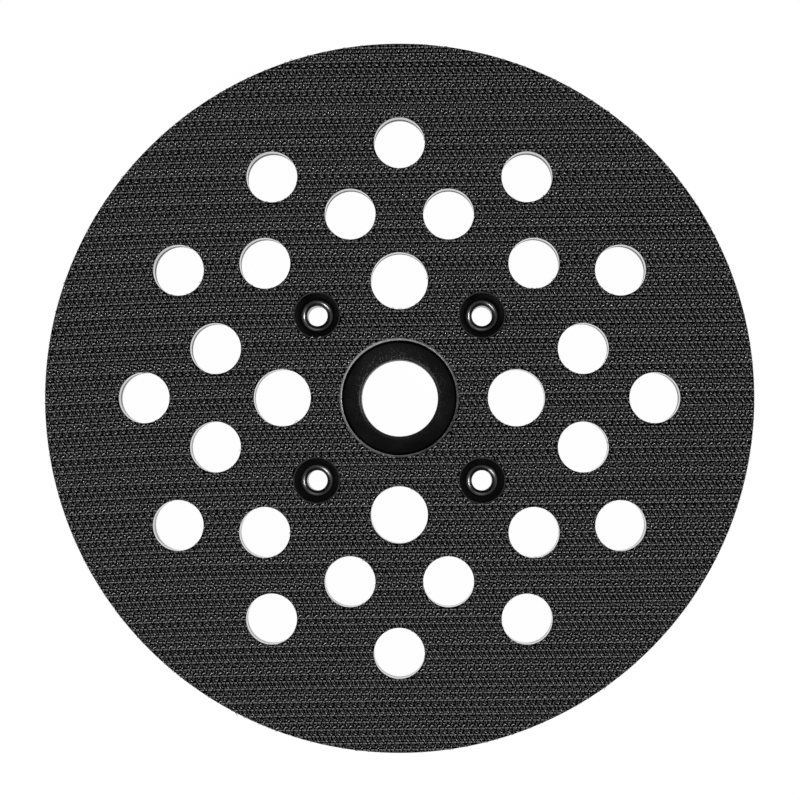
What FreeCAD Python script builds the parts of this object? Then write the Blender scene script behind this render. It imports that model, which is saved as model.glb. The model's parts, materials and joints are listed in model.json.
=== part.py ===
"""Backing pad of a 150 mm random-orbit sander: a 28-vent, hook-faced pad held by four screws.

The pad lies on its hub with the hook face up.  Millimetres, +Z up, origin in the middle of the
hub's mounting face.  Bonded layers, from the hub up: backing plate (with a bush in each screw
hole), foam cushion, adhesive film, woven hook tape, and the field of hooks that stands on it.
"""
import FreeCAD, Part
import math
import os

# ---------------------------------------------------------------- driving dimensions (mm)
PAD_RADIUS = 74.5                # cut edge of the hook tape

# Thickness of each layer, from the hub's mounting face (Z = 0) up to the hook tips
HUB_HEIGHT = 6.0                 # mounting face to the back of the plate's web
PLATE_THICKNESS = 2.6
FOAM_THICKNESS = 5.0
FILM_THICKNESS = 0.2
WEAVE_THICKNESS = 0.6
HOOK_HEIGHT = 1.2

# Centre: a bore through the hub, and a wider recess in the layers above it
BORE_RADIUS = 8.1
BORE_LEAD_IN = 0.5               # rounding at the bore's mouth in the mounting face
CENTRE_RECESS_RADIUS = 12.3      # opening in foam and film
COLLAR_RISE = 0.8                # raised collar around the bore, on the recess floor
COLLAR_CLEARANCE = 0.3           # moat between the collar and the foam
COLLAR_ROUNDING = 0.7            # soft edge where the collar turns down into the bore

# Screws: four M4 screws, each in a well with a bush at its bottom
SCREW_CIRCLE_RADIUS = 24.6
SCREW_COUNT = 4
SCREW_FIRST_ANGLE = 45.0
SCREW_HOLE_RADIUS = 2.15         # M4 clearance hole, inside the bush
SCREW_WELL_RADIUS = 4.7          # opening in foam and film, clears the screw head
BUSH_WALL = 0.7
BUSH_FLANGE_RADIUS = 3.4
BUSH_FLANGE_HEIGHT = 0.7
BUSH_LIP_WIDTH = 0.55            # the flange's raised lip; inside it the flange is dished
BUSH_LIP_ROUNDING = 0.2          # on the lip's outer edge
BUSH_DISH_DEPTH = 0.6            # from the lip down to the edge of the hole
BUSH_DISH_SHARE = 0.95           # share of the lip's flat top taken by the rounding into the dish
BUSH_FIT = 0.05                  # gap between bush and plate, on the radius

# Dust vents: radius of the circle of centres, number, first angle, radius in the foam
OUTER_VENT_CIRCLE_RADIUS = 53.65
OUTER_VENT_RADIUS = 5.35
OUTER_VENT_COUNT = 12
OUTER_VENT_FIRST_ANGLE = 0.0
MIDDLE_VENT_CIRCLE_RADIUS = 40.0
MIDDLE_VENT_RADIUS = 5.35
MIDDLE_VENT_COUNT = 12
MIDDLE_VENT_FIRST_ANGLE = 15.0
INNER_VENT_CIRCLE_RADIUS = 24.6
INNER_VENT_RADIUS = 6.0
INNER_VENT_COUNT = 4
INNER_VENT_FIRST_ANGLE = 0.0
PLATE_VENT_CLEARANCE = 0.05      # the plate's vents are this much larger, on the radius
VENT_SEAT_STEP = 0.4             # recess round a vent under the foam, on the radius
VENT_SEAT_DEPTH = 1.4
TAPE_CUT_MARGIN = 0.25           # the tape is cut back this far from recess and wells

# Backing plate: web, hub, rim and ribs
PLATE_INSET = 4.5                # the plate's rim lies this far inside the cut edge of the tape
RIM_WALL = 2.2
RIM_DROP = 2.0                   # the rim stands this far below the web
BOSS_WALL = 5.0                  # central boss, around the bore
SCREW_BOSS_WALL = 2.4            # around each bush
HUB_SKIRT_RADIUS = 33.4          # outside of the ring wall that closes the hub
HUB_SKIRT_WALL = 2.0
HUB_WEB_THICKNESS = 2.4          # radial webs that tie boss, screw bosses and skirt
HUB_WEB_SETBACK = 0.8            # the webs stay this far behind the mounting face
VENT_COLLAR_WALL = 1.2
VENT_COLLAR_DROP = 1.6
RIB_THICKNESS = 1.8
RIB_HUB_DROP = 3.6               # depth of a rib at the hub
RIB_RIM_DROP = 1.4               # depth of a rib at the rim
RIB_ROOT = 0.6                   # how far a rib runs into the wall that it meets
OUTSIDE_ROUNDING = 0.4
INSIDE_ROUNDING = 0.6

# Foam cushion: its side stands straight under the tape, then tapers to a lip round the plate
FOAM_SIDE_HEIGHT = 1.6           # straight part of the side
FOAM_LIP_WALL = 2.3              # thickness of the lip outside the plate's rim
FOAM_LIP_DROP = 1.2              # how far the lip hangs below the plate's top
FOAM_EDGE_ROUNDING = 0.5
FOAM_BOND_GAP = 0.05             # between the lip and the plate's rim

# ---------------------------------------------------------------- derived levels and radii
PLATE_TOP = HUB_HEIGHT + PLATE_THICKNESS
FOAM_TOP = PLATE_TOP + FOAM_THICKNESS
FILM_TOP = FOAM_TOP + FILM_THICKNESS
WEAVE_TOP = FILM_TOP + WEAVE_THICKNESS
HOOK_TOP = WEAVE_TOP + HOOK_HEIGHT
CUT_OVERRUN = 1.0                # how far a cutting cylinder passes the material

PLATE_RADIUS = PAD_RADIUS - PLATE_INSET
BOSS_RADIUS = BORE_RADIUS + BOSS_WALL
COLLAR_RADIUS = CENTRE_RECESS_RADIUS - COLLAR_CLEARANCE
BUSH_RADIUS = SCREW_HOLE_RADIUS + BUSH_WALL
BUSH_HOLE_RADIUS = BUSH_RADIUS + BUSH_FIT
SCREW_BOSS_RADIUS = BUSH_HOLE_RADIUS + SCREW_BOSS_WALL
SKIRT_INSIDE_RADIUS = HUB_SKIRT_RADIUS - HUB_SKIRT_WALL
RIM_INSIDE_RADIUS = PLATE_RADIUS - RIM_WALL

ORIGIN = FreeCAD.Vector(0, 0, 0)
Z_AXIS = FreeCAD.Vector(0, 0, 1)
SAME_POINT = 1e-6                # two points closer than this are one


# ---------------------------------------------------------------- helpers
def ring_of_points(circle_radius, count, first_angle):
    """Centres spaced evenly on a circle, as (x, y, angle in degrees)."""
    places = []
    for index in range(count):
        angle = first_angle + 360.0 * index / count
        turn = math.radians(angle)
        places.append((circle_radius * math.cos(turn), circle_radius * math.sin(turn), angle))
    return places


def rounded_wire(corners):
    """Closed wire in the XZ plane through (radius, z, rounding) corners, each with a tangent arc."""
    points = [FreeCAD.Vector(radius, 0, height) for radius, height, _ in corners]
    count = len(points)
    arcs = {}
    ends = []
    for index, (_, _, rounding) in enumerate(corners):
        here = points[index]
        if rounding <= 0:
            ends.append((here, here))
            continue
        back = (points[index - 1] - here).normalize()
        ahead = (points[(index + 1) % count] - here).normalize()
        bisector = (back + ahead).normalize()
        half_angle = back.getAngle(ahead) / 2
        reach = rounding / math.tan(half_angle)
        start = here + back * reach
        finish = here + ahead * reach
        middle = here + bisector * (rounding / math.sin(half_angle) - rounding)
        arcs[index] = Part.Arc(start, middle, finish).toShape()
        ends.append((start, finish))
    edges = []
    for index in range(count):
        if index in arcs:
            edges.append(arcs[index])
        leave = ends[index][1]
        arrive = ends[(index + 1) % count][0]
        if leave.distanceToPoint(arrive) > SAME_POINT:
            edges.append(Part.LineSegment(leave, arrive).toShape())
    return Part.Wire(edges)


def revolved(corners):
    """Solid of revolution around Z from a rounded profile."""
    face = Part.Face(rounded_wire(corners))
    solid = face.revolve(ORIGIN, Z_AXIS, 360)
    if solid.Volume < 0:
        solid.reverse()
    return solid


def cylinder(x, y, radius, bottom, top):
    """Upright cylinder between two heights."""
    return Part.makeCylinder(radius, top - bottom, FreeCAD.Vector(x, y, bottom), Z_AXIS)


def cylinders(places, radius, bottom, top):
    """The same upright cylinder at each place."""
    return [cylinder(x, y, radius, bottom, top) for x, y, _ in places]


def radial_rib(start, finish, start_drop, finish_drop, thickness, level, angle):
    """Rib hanging below a level from one radius to another, its depth changing in a straight line."""
    side = -thickness / 2
    outline = [
        FreeCAD.Vector(start, side, level),
        FreeCAD.Vector(start, side, level - start_drop),
        FreeCAD.Vector(finish, side, level - finish_drop),
        FreeCAD.Vector(finish, side, level),
    ]
    face = Part.Face(Part.makePolygon(outline + outline[:1]))
    rib = face.extrude(FreeCAD.Vector(0, thickness, 0))
    rib.rotate(ORIGIN, Z_AXIS, angle)
    return rib


def drop_at(radius):
    """Depth of the outer ribs at a radius: they grow shallower from the hub to the rim."""
    share = (radius - HUB_SKIRT_RADIUS) / (RIM_INSIDE_RADIUS - HUB_SKIRT_RADIUS)
    return RIB_HUB_DROP + share * (RIB_RIM_DROP - RIB_HUB_DROP)


OUTER_VENTS = ring_of_points(OUTER_VENT_CIRCLE_RADIUS, OUTER_VENT_COUNT, OUTER_VENT_FIRST_ANGLE)
MIDDLE_VENTS = ring_of_points(MIDDLE_VENT_CIRCLE_RADIUS, MIDDLE_VENT_COUNT, MIDDLE_VENT_FIRST_ANGLE)
INNER_VENTS = ring_of_points(INNER_VENT_CIRCLE_RADIUS, INNER_VENT_COUNT, INNER_VENT_FIRST_ANGLE)
SCREWS = ring_of_points(SCREW_CIRCLE_RADIUS, SCREW_COUNT, SCREW_FIRST_ANGLE)
RIBBED_RINGS = [(OUTER_VENTS, OUTER_VENT_RADIUS), (MIDDLE_VENTS, MIDDLE_VENT_RADIUS)]
VENT_RINGS = RIBBED_RINGS + [(INNER_VENTS, INNER_VENT_RADIUS)]


def vent_cylinders(clearance, bottom, top):
    """A cylinder in every dust vent, wider than the vent by a clearance on the radius."""
    tools = []
    for places, radius in VENT_RINGS:
        tools += cylinders(places, radius + clearance, bottom, top)
    return tools


# ---------------------------------------------------------------- the pieces
def make_backing_plate():
    """Rigid moulding: web, rim, boss and collar, skirt, screw bosses, vent collars and seats, ribs."""
    body = revolved([
        (BORE_RADIUS, 0, BORE_LEAD_IN),
        (BOSS_RADIUS, 0, OUTSIDE_ROUNDING),
        (BOSS_RADIUS, HUB_HEIGHT, INSIDE_ROUNDING),
        (SKIRT_INSIDE_RADIUS, HUB_HEIGHT, 0),
        (SKIRT_INSIDE_RADIUS, 0, OUTSIDE_ROUNDING),
        (HUB_SKIRT_RADIUS, 0, OUTSIDE_ROUNDING),
        (HUB_SKIRT_RADIUS, HUB_HEIGHT, 0),
        (RIM_INSIDE_RADIUS, HUB_HEIGHT, INSIDE_ROUNDING),
        (RIM_INSIDE_RADIUS, HUB_HEIGHT - RIM_DROP, OUTSIDE_ROUNDING),
        (PLATE_RADIUS, HUB_HEIGHT - RIM_DROP, OUTSIDE_ROUNDING),
        (PLATE_RADIUS, PLATE_TOP, 0),
        (COLLAR_RADIUS, PLATE_TOP, 0),
        (COLLAR_RADIUS, PLATE_TOP + COLLAR_RISE, OUTSIDE_ROUNDING),
        (BORE_RADIUS, PLATE_TOP + COLLAR_RISE, COLLAR_ROUNDING),
    ])
    additions = cylinders(SCREWS, SCREW_BOSS_RADIUS, 0, PLATE_TOP)
    collar_bottom = HUB_HEIGHT - VENT_COLLAR_DROP
    for places, radius in VENT_RINGS:
        collar_radius = radius + PLATE_VENT_CLEARANCE + VENT_COLLAR_WALL
        additions += cylinders(places, collar_radius, collar_bottom, PLATE_TOP)
    web_drop = HUB_HEIGHT - HUB_WEB_SETBACK
    for _, _, angle in SCREWS:
        additions.append(radial_rib(BOSS_RADIUS - RIB_ROOT, SKIRT_INSIDE_RADIUS + RIB_ROOT,
                                    web_drop, web_drop, HUB_WEB_THICKNESS, HUB_HEIGHT, angle))
    # Ribs run from the skirt to a vent's collar and on to the rim; a collar that already
    # meets the skirt needs no rib on that side.
    inner_end = HUB_SKIRT_RADIUS - RIB_ROOT
    outer_end = RIM_INSIDE_RADIUS + RIB_ROOT
    for places, radius in RIBBED_RINGS:
        reach = radius + PLATE_VENT_CLEARANCE + VENT_COLLAR_WALL - RIB_ROOT
        for x, y, angle in places:
            distance = math.hypot(x, y)
            near = distance - reach
            far = distance + reach
            if near > HUB_SKIRT_RADIUS:
                additions.append(radial_rib(inner_end, near, drop_at(inner_end), drop_at(near),
                                            RIB_THICKNESS, HUB_HEIGHT, angle))
            additions.append(radial_rib(far, outer_end, drop_at(far), drop_at(outer_end),
                                        RIB_THICKNESS, HUB_HEIGHT, angle))
    plate = body.fuse(additions)
    cuts = vent_cylinders(PLATE_VENT_CLEARANCE, -CUT_OVERRUN, PLATE_TOP + CUT_OVERRUN)
    cuts += vent_cylinders(PLATE_VENT_CLEARANCE + VENT_SEAT_STEP,
                           PLATE_TOP - VENT_SEAT_DEPTH, PLATE_TOP + CUT_OVERRUN)
    cuts += cylinders(SCREWS, BUSH_HOLE_RADIUS, -CUT_OVERRUN, PLATE_TOP + CUT_OVERRUN)
    return plate.cut(cuts).removeSplitter()


def make_screw_bush(x, y):
    """Sleeve with a dished flange, which takes the clamping load of one screw through the plate."""
    flange_top = PLATE_TOP + BUSH_FLANGE_HEIGHT
    lip_inside = BUSH_FLANGE_RADIUS - BUSH_LIP_WIDTH
    slope = math.atan2(BUSH_DISH_DEPTH, lip_inside - SCREW_HOLE_RADIUS)
    flat = BUSH_LIP_WIDTH - BUSH_LIP_ROUNDING
    dish_rounding = BUSH_DISH_SHARE * flat / math.tan(slope / 2)
    bush = revolved([
        (SCREW_HOLE_RADIUS, 0, 0),
        (BUSH_RADIUS, 0, 0),
        (BUSH_RADIUS, PLATE_TOP, 0),
        (BUSH_FLANGE_RADIUS, PLATE_TOP, 0),
        (BUSH_FLANGE_RADIUS, flange_top, BUSH_LIP_ROUNDING),
        (lip_inside, flange_top, dish_rounding),
        (SCREW_HOLE_RADIUS, flange_top - BUSH_DISH_DEPTH, 0),
    ])
    bush.translate(FreeCAD.Vector(x, y, 0))
    return bush


def make_foam_cushion():
    """Moulded foam: tapered side, a lip round the plate's rim, and every opening of the face."""
    lip_inside = PLATE_RADIUS + FOAM_BOND_GAP
    lip_outside = lip_inside + FOAM_LIP_WALL
    lip_bottom = PLATE_TOP - FOAM_LIP_DROP
    body = revolved([
        (CENTRE_RECESS_RADIUS, PLATE_TOP, 0),
        (lip_inside, PLATE_TOP, 0),
        (lip_inside, lip_bottom, 0),
        (lip_outside, lip_bottom, FOAM_EDGE_ROUNDING),
        (PAD_RADIUS, FOAM_TOP - FOAM_SIDE_HEIGHT, FOAM_EDGE_ROUNDING),
        (PAD_RADIUS, FOAM_TOP, 0),
        (CENTRE_RECESS_RADIUS, FOAM_TOP, 0),
    ])
    bottom = PLATE_TOP - CUT_OVERRUN
    top = FOAM_TOP + CUT_OVERRUN
    cuts = vent_cylinders(0, bottom, top) + cylinders(SCREWS, SCREW_WELL_RADIUS, bottom, top)
    return body.cut(cuts)


def make_face_layer(bottom, top, margin):
    """Flat layer of the face, with the recess and the wells cut wider by a margin."""
    layer = cylinder(0, 0, PAD_RADIUS, bottom, top)
    cut_bottom = bottom - CUT_OVERRUN
    cut_top = top + CUT_OVERRUN
    cuts = [cylinder(0, 0, CENTRE_RECESS_RADIUS + margin, cut_bottom, cut_top)]
    cuts += cylinders(SCREWS, SCREW_WELL_RADIUS + margin, cut_bottom, cut_top)
    cuts += vent_cylinders(0, cut_bottom, cut_top)
    return layer.cut(cuts)


# ---------------------------------------------------------------- build and write
pieces = {
    "backing_plate": make_backing_plate(),
    "foam_cushion": make_foam_cushion(),
    "adhesive_film": make_face_layer(FOAM_TOP, FILM_TOP, 0),
    "hook_tape_weave": make_face_layer(FILM_TOP, WEAVE_TOP, TAPE_CUT_MARGIN),
    "hook_pile": make_face_layer(WEAVE_TOP, HOOK_TOP, TAPE_CUT_MARGIN),
}
for number, (bush_x, bush_y, _) in enumerate(SCREWS, start=1):
    pieces["screw_bush_%d" % number] = make_screw_bush(bush_x, bush_y)

os.makedirs("parts", exist_ok=True)
for name, shape in pieces.items():
    solids = shape.Solids
    if not shape.isValid() or not solids:
        raise ValueError("%s is not a valid solid" % name)
    Part.makeCompound(solids).exportStep("parts/%s.step" % name)
    box = shape.optimalBoundingBox()
    print("%-16s solids %d  volume %9.1f mm3  z %.2f to %.2f  width %.2f"
          % (name, len(solids), shape.Volume, box.ZMin, box.ZMax, box.XLength))
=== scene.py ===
"""Backing pad of a 150 mm random-orbit sander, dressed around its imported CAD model.

The CAD model gives every place and size.  This script builds the soft layers that stand for their
CAD nodes (foam, adhesive film, woven ground and the field of hooks), dresses the moulded plate and
the screw bushes, and sets up floor, lamps and camera.  Metres, +Z up, the frame of the CAD model.
"""
import json
import logging
import math
from collections.abc import Iterator
from dataclasses import dataclass, field, replace
from enum import Enum, IntEnum
from typing import NamedTuple

import bpy
import numpy as np
from mathutils import Matrix, Vector
from mathutils.geometry import delaunay_2d_cdt


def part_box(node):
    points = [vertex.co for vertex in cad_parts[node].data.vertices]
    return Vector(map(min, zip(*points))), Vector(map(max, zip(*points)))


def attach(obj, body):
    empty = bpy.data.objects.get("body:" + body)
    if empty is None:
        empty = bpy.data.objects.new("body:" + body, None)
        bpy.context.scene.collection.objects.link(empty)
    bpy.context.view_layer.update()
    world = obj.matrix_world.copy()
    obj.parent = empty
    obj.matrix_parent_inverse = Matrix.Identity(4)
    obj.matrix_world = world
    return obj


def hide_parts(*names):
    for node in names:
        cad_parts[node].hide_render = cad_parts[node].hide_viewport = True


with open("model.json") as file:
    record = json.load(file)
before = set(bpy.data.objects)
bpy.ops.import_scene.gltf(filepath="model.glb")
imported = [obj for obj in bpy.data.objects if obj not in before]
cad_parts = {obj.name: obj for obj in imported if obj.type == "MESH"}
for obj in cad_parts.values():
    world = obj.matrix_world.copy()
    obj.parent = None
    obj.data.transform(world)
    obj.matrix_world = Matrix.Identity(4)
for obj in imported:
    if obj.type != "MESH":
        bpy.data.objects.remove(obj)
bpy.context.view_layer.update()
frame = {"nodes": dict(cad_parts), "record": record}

LOG = logging.getLogger("backing_pad")
MM = 0.001
DEG = math.pi / 180
BODY = "root"
OWN_MAP = "OFBake"
WELD_REACH = 1e-7
LAYER_CREASE_DEG = 30
BEAD_CREASE_DEG = 50
TUBE_CREASE_DEG = 60
Array = np.ndarray
Object = bpy.types.Object
Material = bpy.types.Material
Socket = bpy.types.NodeSocket
Chance = np.random.Generator
Span = tuple[float, float]


# ======== surfaces
@dataclass
class Surface:
    """Points and polygons of a piece.

    `faces` holds one (count, corners) index array for each polygon size, and `uv` one row per
    polygon corner in the order of `faces`, or nothing.
    """

    points: Array
    faces: list[Array]
    uv: Array | None = None


def welded(parts: list[Surface]) -> Surface:
    """Puts surfaces into one and merges their points that fall on the same place.

    Args:
        parts: The surfaces, without UV maps.

    Returns:
        One surface.
    """
    points = np.concatenate([part.points for part in parts])
    keys = np.round(points / WELD_REACH).astype(np.int64)
    _, first, place = np.unique(keys, axis=0, return_index=True, return_inverse=True)
    starts = np.cumsum([0] + [len(part.points) for part in parts])
    return Surface(points[first], [place.ravel()[start + face]
                                   for start, part in zip(starts, parts) for face in part.faces])


def as_object(name: str, surface: Surface, crease_deg: float | None = None) -> Object:
    """Makes a mesh object at the origin from a surface.

    Args:
        name: Name of the piece and of its mesh.
        surface: The points, polygons and UV map.
        crease_deg: Edges whose faces meet at more than this angle stay sharp.

    Returns:
        The object, linked to the scene, unturned and unscaled.
    """
    mesh = bpy.data.meshes.new(name)
    corners = np.concatenate([face.ravel() for face in surface.faces])
    sizes = np.concatenate([np.full(len(face), face.shape[1]) for face in surface.faces])
    mesh.vertices.add(len(surface.points))
    mesh.vertices.foreach_set("co", surface.points.astype(np.float32).ravel())
    mesh.loops.add(len(corners))
    mesh.loops.foreach_set("vertex_index", corners.astype(np.int32))
    mesh.polygons.add(len(sizes))
    mesh.polygons.foreach_set("loop_start", (np.cumsum(sizes) - sizes).astype(np.int32))
    mesh.update(calc_edges=True)
    if surface.uv is not None:
        layer = mesh.uv_layers.new(name=OWN_MAP)
        layer.data.foreach_set("uv", surface.uv.astype(np.float32).ravel())
    mesh.shade_smooth()
    if crease_deg is not None:
        mesh.set_sharp_from_angle(angle=math.radians(crease_deg))
    made = bpy.data.objects.new(name, mesh)
    bpy.context.scene.collection.objects.link(made)
    return made


def circle(count: int) -> Array:
    """Points of the unit circle in plan, anticlockwise from +X, one row each."""
    turn = np.arange(count) * (2 * math.pi / count)
    return np.stack([np.cos(turn), np.sin(turn)], -1)


def grid_faces(rows: int, columns: int) -> Array:
    """Quads of a tube-like grid whose points are numbered row by row.

    Args:
        rows: Number of rows of points.
        columns: Number of points in a row. The last one joins the first.

    Returns:
        Quads, each going along the row first: (r, c), (r, c + 1), (r + 1, c + 1), (r + 1, c).
    """
    row, column = np.meshgrid(np.arange(rows - 1), np.arange(columns), indexing="ij")
    here, there = row * columns + column, row * columns + (column + 1) % columns
    return np.stack([here, there, there + columns, here + columns], -1).reshape(-1, 4)


def revolved(profile: Array, count: int, centre: Span = (0.0, 0.0)) -> Surface:
    """Carries a profile round a vertical axis.

    The point for profile point (r, z) at angle a is (x + r cos a, y + r sin a, z).  A profile
    drawn downwards on the outside gives faces that look away from the axis.

    Args:
        profile: Radius and height of each profile point, one row each.
        count: Number of steps round the axis.
        centre: Where the axis stands.

    Returns:
        The surface, open at the profile's ends.
    """
    flat = profile[:, None, :1] * circle(count) + np.array(centre)
    height = np.broadcast_to(profile[:, None, 1:], flat.shape[:2] + (1,))
    points = np.concatenate([flat, height], -1).reshape(-1, 3)
    return Surface(points, [grid_faces(len(profile), count)[:, ::-1]])


def rounded_profile(corners: list[Span], roundings: list[float], steps: int) -> Array:
    """A profile through corners, each rounded by a tangent curve.

    A corner p with neighbours a and b is replaced by the quadratic curve from the point one
    rounding before it to the point one rounding after it, with p as its control point.

    Args:
        corners: Radius and height of each corner.
        roundings: Length taken by the rounding on each side of a corner, 0 for a sharp one.
        steps: Steps in a rounding.

    Returns:
        The profile's points, one row each.
    """
    points = np.array(corners)
    share = np.linspace(0, 1, steps + 1)[:, None]
    runs = []
    for index, rounding in enumerate(roundings):
        here = points[index]
        if rounding <= 0:
            runs.append(here[None])
            continue
        back, ahead = points[index - 1] - here, points[index + 1] - here
        start = here + back * rounding / np.hypot(*back)
        finish = here + ahead * rounding / np.hypot(*ahead)
        runs.append((1 - share) ** 2 * start + 2 * share * (1 - share) * here
                    + share ** 2 * finish)
    return np.concatenate(runs)


@dataclass(frozen=True)
class Cut:
    """A circle in plan: an opening through a layer, or the layer's own edge."""

    x: float
    y: float
    radius: float
    count: int = 0

    def steps(self, spacing: float) -> int:
        """Number of points round the circle: its own count, or a multiple of eight that puts
        them at most `spacing` apart."""
        return self.count or 8 * math.ceil(2 * math.pi * self.radius / spacing / 8)

    def narrowed(self, width: float, spacing: float) -> "Cut":
        """A smaller circle round the same middle, with as many points."""
        return Cut(self.x, self.y, self.radius - width, self.steps(spacing))

    def ring(self, spacing: float) -> Array:
        """The circle's points in plan, anticlockwise from its +X side."""
        return np.array([self.x, self.y]) + self.radius * circle(self.steps(spacing))

    def distance(self, x: Array, y: Array) -> Array:
        """How far points lie outside the circle; negative inside it."""
        return np.hypot(x - self.x, y - self.y) - self.radius


@dataclass(frozen=True)
class Outline:
    """A round layer with round cuts, in plan."""

    edge: Cut
    cuts: tuple[Cut, ...]
    spacing: float = 0.36 * MM

    def face(self, height: float, upward: bool) -> Surface:
        """The flat area between the edge and the cuts.

        The circles are joined by a constrained Delaunay triangulation, and triangles whose middle
        falls in a cut are left out.

        Args:
            height: Z of the area.
            upward: Whether it looks up.

        Returns:
            The area as triangles.
        """
        rings = [cut.ring(self.spacing) for cut in (self.edge, *self.cuts)]
        starts = np.cumsum([0] + [len(ring) for ring in rings])
        edges = [np.stack([start + np.arange(len(ring)),
                           start + (np.arange(len(ring)) + 1) % len(ring)], -1)
                 for start, ring in zip(starts, rings)]
        flat = np.concatenate(rings)
        found = np.array(delaunay_2d_cdt(flat.tolist(), np.concatenate(edges).tolist(), [], 1,
                                         self.spacing * 1e-4, False)[2])
        middle = flat[found].mean(1)
        kept = np.all([cut.distance(middle[:, 0], middle[:, 1]) > 0 for cut in self.cuts], axis=0)
        found = found[kept]
        points = np.column_stack([flat, np.full(len(flat), height)])
        return Surface(points, [found if upward else found[:, ::-1]])

    def round(self, cut: Cut, profile: Array) -> Surface:
        """Carries a profile of distances from a cut's axis and heights round that cut."""
        return revolved(profile, cut.steps(self.spacing), (cut.x, cut.y))

    def rim(self, top: float, bottom: float) -> Surface:
        """The plain upright edge of the layer."""
        return self.round(self.edge, np.array([[self.edge.radius, top],
                                               [self.edge.radius, bottom]]))

    def walls(self, top: float, bottom: float) -> list[Surface]:
        """The upright walls of the cuts, looking into the openings."""
        return [self.round(cut, np.array([[cut.radius, bottom], [cut.radius, top]]))
                for cut in self.cuts]

    def slab(self, top: float, bottom: float) -> Surface:
        """The closed layer between two heights, with a plain upright edge."""
        return welded([self.face(top, True), self.face(bottom, False), self.rim(top, bottom),
                       *self.walls(top, bottom)])

    def area(self) -> float:
        """Area of the layer in plan, its cuts taken off."""
        return math.pi * (self.edge.radius ** 2 - sum(cut.radius ** 2 for cut in self.cuts))

    def clearance(self, x: Array, y: Array) -> Array:
        """How far points lie inside the material, from the nearest edge or cut."""
        gaps = [-self.edge.distance(x, y)] + [cut.distance(x, y) for cut in self.cuts]
        return np.min(gaps, axis=0)

    def trimmed(self, x: Array, y: Array, half: Array) -> tuple[Array, Array]:
        """Ends of short runs along X, cut back where they meet the edge or an opening.

        Args:
            x: Middles of the runs.
            y: Their places across the rows.
            half: Half their full lengths.

        Returns:
            Where each run begins and where it ends.
        """
        reach = np.sqrt(np.maximum(self.edge.radius ** 2 - y ** 2, 0))
        begin, end = np.maximum(x - half, -reach), np.minimum(x + half, reach)
        for cut in self.cuts:
            chord = np.sqrt(np.maximum(cut.radius ** 2 - (y - cut.y) ** 2, 0))
            left, right = cut.x - chord, cut.x + chord
            meets = (chord > 0) & (begin < right) & (end > left)
            end = np.where(meets & (x < cut.x), np.minimum(end, left), end)
            begin = np.where(meets & (x >= cut.x), np.maximum(begin, right), begin)
        return begin, end


# ======== tubes
@dataclass
class Tubes:
    """Many short tubes of one kind, and where their patches lie in the UV map.

    `paths` holds the centre lines, (tubes, points, 3), `sideways` a direction across each tube,
    (tubes, 3), and `radii` the radius at each point, (tubes, points).  The section has `sides`
    sides and is `flatness` times as high as it is wide.
    """

    paths: Array
    sideways: Array
    radii: Array
    sides: int
    flatness: float = 1.0
    sheet_size: Span = (0.9, 0.7)
    sheet_place: Span = (0.05, 0.04)
    end_radius: float = 0.09
    end_places: tuple[Span, Span] = ((0.25, 0.87), (0.75, 0.87))

    def triangles(self) -> int:
        """Triangles in one tube."""
        return 2 * self.sides * (self.paths.shape[1] - 1) + 2 * (self.sides - 2)

    def rings(self) -> Array:
        """Works out the sections.

        With t the direction of the path, b the sideways direction made square to it and n = b x t,
        the point at angle a is path + r (flatness cos a n + sin a b).

        Returns:
            Points, (tubes, points, sides, 3).
        """
        ahead = np.gradient(self.paths, axis=1)
        ahead /= np.linalg.norm(ahead, axis=-1, keepdims=True)
        across = self.sideways[:, None, :] - ahead * np.sum(
            self.sideways[:, None, :] * ahead, axis=-1, keepdims=True)
        across /= np.linalg.norm(across, axis=-1, keepdims=True)
        above = np.cross(across, ahead)
        cosine, sine = circle(self.sides).T
        offset = (self.flatness * cosine[:, None] * above[:, :, None, :]
                  + sine[:, None] * across[:, :, None, :])
        return self.paths[:, :, None, :] + self.radii[:, :, None, None] * offset

    def surface(self) -> Surface:
        """Puts the tubes together.

        Returns:
            One surface, closed at both ends of each tube, with a patch of the UV map for each.
        """
        tubes, length = self.paths.shape[:2]
        start = np.arange(tubes)[:, None, None] * (length * self.sides)
        first = np.arange(self.sides)
        ends = np.stack([first[::-1], first + (length - 1) * self.sides])
        quads = (start + grid_faces(length, self.sides)).reshape(-1, 4)
        caps = (start + ends).reshape(-1, self.sides)
        return Surface(self.rings().reshape(-1, 3), [quads, caps], self.patches())

    def patches(self) -> Array:
        """Lays out the UV map.

        In a tube's patch the sides are unrolled, and the two ends lie in the strip above them.

        Returns:
            UV of every polygon corner, in the order of the faces.
        """
        tubes, length = self.paths.shape[:2]
        side = math.ceil(math.sqrt(tubes))
        row, column = np.divmod(np.arange(tubes), side)
        patch = np.stack([column, row], -1)[:, None, None, :]
        row, column = np.divmod(np.arange((length - 1) * self.sides), self.sides)
        corners = np.stack([column, row], -1)[:, None] + [(0, 0), (1, 0), (1, 1), (0, 1)]
        sheet = corners / (self.sides, length - 1) * self.sheet_size + self.sheet_place
        disc = self.end_radius * circle(self.sides)
        ends = np.stack([disc[::-1] + self.end_places[0], disc + self.end_places[1]])
        return np.concatenate([(patch + part).reshape(-1, 2) / side for part in (sheet, ends)])

    def bands(self, most: int) -> list["Tubes"]:
        """Splits the tubes into runs of whole tubes.

        Args:
            most: Triangles that no run may pass.

        Returns:
            The runs, in order.
        """
        runs = math.ceil(len(self.paths) * self.triangles() / most)
        return [replace(self, paths=self.paths[run], sideways=self.sideways[run],
                        radii=self.radii[run])
                for run in np.array_split(np.arange(len(self.paths)), runs)]


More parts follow.
